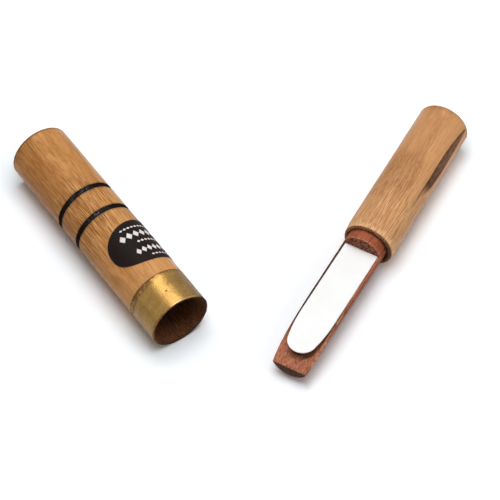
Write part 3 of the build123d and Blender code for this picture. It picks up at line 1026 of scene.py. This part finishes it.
class DUCKCALL_OT_exhaust_tube(bpy.types.Operator):
    """Turn the insert's cane tube with its bore and its seat for the plug"""

    bl_idname = "duck_call.exhaust_tube"
    bl_label = "Exhaust Tube"

    def execute(self, context):
        s = context.scene.duck_call_insert
        end, outer, bore, seat = -s.length / MM, s.radius / MM, s.bore / MM, s.seat / MM
        far, near, drop, shoulder, seat_end = 0.9, 0.8, 0.4, -4, -22
        lean = degrees(atan2(drop, -shoulder))
        round_far = arc_points((end + far, outer - far), far, 180, 90, 8)
        round_near = arc_points((-near, outer - drop - near + 0.06), near, 90 - lean, 0, 8)
        runs = [
            ([(0, seat + 0.4)], {"seat": 1.0, "worn": 1.0}),
            (run_through([(-0.8, seat + 0.3), (-3, seat), (seat_end, seat)], 4.0), {"seat": 1.0}),
            ([(seat_end, seat)], {"seat": 1.0}),
            (run_points((seat_end, bore), (end, bore), 4.0) + [(end, bore)], {}),
            (round_far[:-1], {"worn": -0.2}),
            (run_points((end + far, outer), (shoulder, outer), 1.2), {"skin": 1.0}),
            (run_points((shoulder, outer), round_near[0], 1.0), {"skin": 1.0}),
            (round_near[:4], {"skin": 0.6, "worn": 0.3}),
            (round_near[4:], {"worn": 0.8}),
            ([(0, seat + 0.7)], {"worn": 1.0}),
        ]
        mesh = turned(
            "exhaust_tube", runs, insert_place, insert_cane(s), s.steps,
            Fibre_Height=s.fibre_height / MM, Fibre_Pitch=0.6, Sway=0.04, Wear_Depth=s.wear / MM,
            Seat_Offset=-0.4, Seat_Lean=-tan(radians(0.75)), Seed=21.0,
        )
        new_piece("exhaust_tube_cane", finished(mesh, 40), "insert", "cane", "exhaust_tube")
        return {"FINISHED"}


class DUCKCALL_OT_toneboard(bpy.types.Operator):
    """Loft the cedar toneboard with its flat, its fall and its air channel"""

    bl_idname = "duck_call.toneboard"
    bl_label = "Toneboard"

    def execute(self, context):
        s = context.scene.duck_call_cedar
        radius, reach, inner = s.radius / MM, s.reach / MM, -20.0
        channel, channel_reach, channel_depth = 2.75, 41.0, 5.0
        slope = channel_depth / (channel_reach - inner)
        under, lip, hollow = 56, 8, 16

        def row(along):
            round_r = radius - max(0.0, along) * BOARD_TAPER
            past = max(0.0, along - BOARD_FLAT_END)
            top = BOARD_FLAT - BOARD_FALL_RADIUS + sqrt(BOARD_FALL_RADIUS**2 - past**2)
            edge = asin(top / round_r)
            half = round_r * cos(edge)
            turns = spread(edge, -pi - edge, under)
            ring = [(along, round_r * cos(turn), round_r * sin(turn)) for turn in turns]

            middle = BOARD_FLAT - slope * (channel_reach - along) + channel
            sink = top - middle
            opening = channel if sink >= 0 else sqrt(max(0.0, channel**2 - sink**2))
            wall = max(sink, 0.0)
            ring += [(along, side, top) for side in spread(-half, -opening, lip)[1:]]
            ring += [(along, -opening, top - wall * k / 3) for k in (1, 2)]
            sweep = pi if sink >= 0 else 2 * asin(opening / channel)
            for turn in spread(-pi / 2 - sweep / 2, -pi / 2 + sweep / 2, hollow):
                high = middle + channel * sin(turn) if opening else top
                ring.append((along, channel * cos(turn) if opening else 0.0, high))
            ring += [(along, opening, top - wall * k / 3) for k in (2, 1)]
            ring += [(along, side, top) for side in spread(opening, half, lip)[:-1]]
            return ring

        rows = [row(along) for along in spread(inner, reach, 152)]
        mesh = softened(lofted("toneboard", rows, plug_place), 0.12, 40)
        finished(mesh, 30, toneboard_cedar(s))
        new_piece("toneboard_cedar", mesh, "toneboard", "cedar", "toneboard")
        return {"FINISHED"}


class DUCKCALL_OT_wedge(bpy.types.Operator):
    """Loft the cedar wedge that clamps the reed"""

    bl_idname = "duck_call.wedge"
    bl_label = "Wedge"

    def execute(self, context):
        s = context.scene.duck_call_cedar
        radius, front, inner, floor = s.radius / MM, s.wedge_stand_out / MM, -18.0, 1.75
        half, edge = sqrt(radius**2 - floor**2) - 0.4, 0.4

        def row(along, shrink):
            round_r = radius - max(0.0, along) * BOARD_TAPER - shrink
            side = min(half, sqrt(round_r**2 - floor**2))
            start = asin(side / round_r)
            turns = spread(start, -start, 48)
            ring = [(along, across, floor) for across in spread(-side, side, 24)]
            return ring + [(along, round_r * sin(turn), round_r * cos(turn)) for turn in turns]

        rows = [row(along, 0.0) for along in spread(inner, front - edge, 40)]
        for turn in spread(0.0, pi / 2, 6)[1:]:
            rows.append(row(front - edge + edge * sin(turn), edge - edge * cos(turn)))
        mesh = lofted("wedge", rows, plug_place)
        finished(mesh, 32, wedge_cedar(s))
        new_piece("wedge_cedar", mesh, "wedge", "cedar", "wedge")
        return {"FINISHED"}


class DUCKCALL_OT_reed(bpy.types.Operator):
    """Make the reed as one strip of plastic with bowed sides and a rounded tip"""

    bl_idname = "duck_call.reed"
    bl_label = "Reed"

    def execute(self, context):
        s = context.scene.duck_call_reed
        half, reach, tip, bow = s.width / MM / 2, s.reach / MM, s.tip / MM, s.side / MM
        thick, tail, columns = s.thickness / MM, -14.0, 12
        bottom = REED_MIDDLE - thick / 2
        centre = reach - tip
        run = sqrt((half - tip) * (2 * bow - half - tip))
        bow_start = centre - run
        lean = asin(run / (bow - tip))

        stations = [(along, half) for along in spread(tail, bow_start, 50)[:-1]]
        for turn in spread(0.0, lean, 16)[:-1]:
            stations.append((bow_start + bow * sin(turn), half - bow + bow * cos(turn)))
        for turn in spread(lean, pi / 2, 24):
            stations.append((centre + tip * sin(turn), max(0.02, tip * cos(turn))))
        rows = []
        for along, wide in stations:
            steps = spread(-wide, wide, columns)
            under = [(along, step, bottom) for step in steps]
            rows.append(under + [(along, step, bottom + thick) for step in reversed(steps)])
        mesh = softened(lofted("reed", rows, plug_place), 0.06, 60)
        finished(mesh, 30, reed_plastic(s))
        reed = new_piece("reed_strip", mesh, None, "reed", "reed_tail", "reed_tongue")
        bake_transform(reed)
        return {"FINISHED"}


def facing_from(spot):
    """Turn of a light or camera at a spot that looks back at the middle."""
    return (-Vector(spot)).to_track_quat("-Z", "Y").to_euler()


class DUCKCALL_OT_stage(bpy.types.Operator):
    """Lay the white floor, hang the lights and set the camera"""

    bl_idname = "duck_call.stage"
    bl_label = "Stage"

    def execute(self, context):
        scene = context.scene
        s = scene.duck_call_stage
        half = s.floor_size / 2
        mesh = bpy.data.meshes.new("floor")
        corners = [(-half, -half, 0), (half, -half, 0), (half, half, 0), (-half, half, 0)]
        mesh.from_pydata(corners, [], [(0, 1, 2, 3)])
        mesh.materials.append(floor_white(s))
        floor = bpy.data.objects.new("floor", mesh)
        scene.collection.objects.link(floor)

        above, turn, away = (0.0007, 0.0028, 0.422), (0.0, 0.0, 0.27), 2.0
        high = Vector((-0.035, 0.125, 0.991)).normalized() * away
        right = Vector((0.80, -0.25, 0.55)).normalized() * away
        for name, spot, facing, power, wide, tall in (
            ("main", above, turn, s.main, 0.291, 0.356),
            ("softbox", high, facing_from(high), s.softbox, 1.5, 2.9),
            ("fill", right, facing_from(right), s.fill, 1.6, 1.6),
        ):
            lamp = bpy.data.lights.new(name, "AREA")
            lamp.shape = "RECTANGLE"
            lamp.size, lamp.size_y, lamp.energy = wide, tall, power
            hung = bpy.data.objects.new(name, lamp)
            hung.location, hung.rotation_euler = spot, facing
            hung.visible_camera = False
            hung.visible_glossy = name != "main"
            hung.visible_diffuse = name != "softbox"
            scene.collection.objects.link(hung)

        scene.world = studio_world(s)
        scene.view_settings.view_transform = "Standard"

        camera = bpy.data.objects.new("camera", bpy.data.cameras.new("camera"))
        camera.data.sensor_width, camera.data.lens = 36.0, s.lens
        camera.data.clip_start, camera.data.clip_end = 0.01, 50.0
        aim = Vector((0.002825, 0.00146, 0.0))
        back = Vector((0.0, -cos(s.elevation), sin(s.elevation)))
        camera.location = aim + back * s.distance
        camera.rotation_euler = facing_from(back)
        scene.collection.objects.link(camera)
        scene.camera = camera
        return {"FINISHED"}


class DUCKCALL_PT_sidebar(bpy.types.Panel):
    """Lists the stage and the pieces of the call"""

    bl_idname = "DUCKCALL_PT_sidebar"
    bl_label = "Duck Call"
    bl_space_type = "VIEW_3D"
    bl_region_type = "UI"
    bl_category = "Duck Call"

    def draw(self, context):
        for operator in OPERATORS:
            self.layout.operator(operator.bl_idname)


GROUPS = {
    "duck_call_barrel": DuckCallBarrel,
    "duck_call_insert": DuckCallInsert,
    "duck_call_band": DuckCallBand,
    "duck_call_label": DuckCallLabel,
    "duck_call_cedar": DuckCallCedar,
    "duck_call_reed": DuckCallReed,
    "duck_call_stage": DuckCallStage,
}
OPERATORS = (
    DUCKCALL_OT_stage,
    DUCKCALL_OT_barrel_tube,
    DUCKCALL_OT_brass_band,
    DUCKCALL_OT_label,
    DUCKCALL_OT_exhaust_tube,
    DUCKCALL_OT_toneboard,
    DUCKCALL_OT_wedge,
    DUCKCALL_OT_reed,
)


def register():
    for name, group in GROUPS.items():
        bpy.utils.register_class(group)
        setattr(bpy.types.Scene, name, PointerProperty(type=group))
    for operator in OPERATORS:
        bpy.utils.register_class(operator)
    bpy.utils.register_class(DUCKCALL_PT_sidebar)


def unregister():
    bpy.utils.unregister_class(DUCKCALL_PT_sidebar)
    for operator in reversed(OPERATORS):
        bpy.utils.unregister_class(operator)
    for name, group in reversed(GROUPS.items()):
        delattr(bpy.types.Scene, name)
        bpy.utils.unregister_class(group)


def main():
    register()
    bpy.ops.duck_call.stage()
    bpy.ops.duck_call.barrel_tube()
    bpy.ops.duck_call.brass_band()
    bpy.ops.duck_call.label()
    bpy.ops.duck_call.exhaust_tube()
    bpy.ops.duck_call.toneboard()
    bpy.ops.duck_call.wedge()
    bpy.ops.duck_call.reed()
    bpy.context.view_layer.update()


if __name__ == "__main__":
    main()
